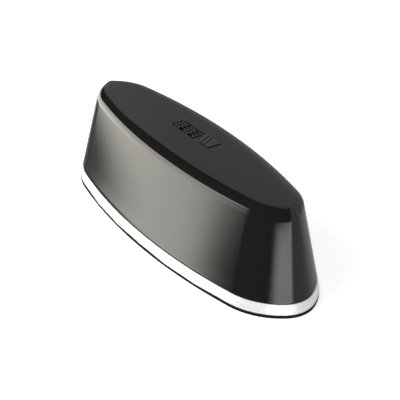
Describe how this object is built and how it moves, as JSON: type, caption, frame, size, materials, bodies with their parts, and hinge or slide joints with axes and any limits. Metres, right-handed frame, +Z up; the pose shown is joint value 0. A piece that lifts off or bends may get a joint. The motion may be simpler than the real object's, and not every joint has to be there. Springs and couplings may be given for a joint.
{
  "type": "gnss receiver",
  "caption": "Sealed satellite positioning receiver: gloss oval radome on a metal base frame, with pole insert, data socket and power key underneath.",
  "frame": {"origin": "middle of the base pad's underside", "axes": "+Z up out of the radome's top, +X along the length"},
  "size_m": [0.2, 0.07, 0.057],
  "materials": {
    "gloss_black_plastic": "high gloss moulded, black",
    "blasted_aluminium": "bead blasted and clear anodised, fine even grain",
    "rubber": "matt black moulded",
    "steel": "bright stainless",
    "brass": "machined",
    "nickel": "satin nickel plated",
    "gold": "gold plated",
    "black_plastic": "fine moulded texture",
    "nylon": "natural nylon",
    "clear_plastic": "clear light pipe",
    "circuit_board": "green solder mask",
    "tin": "tinned sheet",
    "ceramic": "fired ceramic",
    "cell_sleeve": "shrunk sleeve",
    "red_lead": "silicone insulated"
  },
  "bodies": {
    "root": {"amplifier_shield": "tin", "antenna_board": "gold", "antenna_coax": "black_plastic", "antenna_spacer_1": "nylon", "antenna_spacer_2": "nylon", "antenna_spacer_3": "nylon", "antenna_spacer_4": "nylon", "base_frame": "blasted_aluminium", "base_pad": "rubber", "battery_cell_1": "cell_sleeve", "battery_cell_2": "cell_sleeve", "battery_cradle_1": "black_plastic", "battery_cradle_2": "black_plastic", "battery_header": "nylon", "battery_lead_1": "red_lead", "battery_lead_2": "red_lead", "bluetooth_antenna": "ceramic", "board_screw_1": "steel", "board_screw_2": "steel", "board_screw_3": "steel", "board_screw_4": "steel", "cellular_antenna": "brass", "connector_contacts": "gold", "connector_harness": "black_plastic", "connector_insulator": "black_plastic", "connector_nut": "nickel", "connector_seal": "rubber", "connector_shell": "nickel", "cover_screw_1": "steel", "cover_screw_10": "steel", "cover_screw_2": "steel", "cover_screw_3": "steel", "cover_screw_4": "steel", "cover_screw_5": "steel", "cover_screw_6": "steel", "cover_screw_7": "steel", "cover_screw_8": "steel", "cover_screw_9": "steel", "gnss_module_shield": "tin", "housing_seal": "rubber", "key_board": "circuit_board", "key_lead": "black_plastic", "key_spring": "steel", "key_switch": "black_plastic", "lower_patch": "ceramic", "main_board": "circuit_board", "motion_sensor": "black_plastic", "pole_insert": "brass", "pressure_vent": "black_plastic", "processor_chip": "black_plastic", "radio_module_shield": "tin", "radome": "gloss_black_plastic", "sim_socket": "steel", "status_light_1": "clear_plastic", "status_light_2": "clear_plastic", "status_light_3": "clear_plastic", "upper_patch": "ceramic"},
    "power_key": {"power_key": "black_plastic", "key_seal": "rubber", "switch_plunger": "nylon"}
  },
  "joints": [
    {"name": "power_key_press", "type": "slide", "parent": "root", "child": "power_key", "axis": [0, 0, 1], "range_m": [0, 0.0008], "stiffness_N_per_m": 1500, "springref_m": -0.001, "deforming": ["key_spring"]}
  ]
}
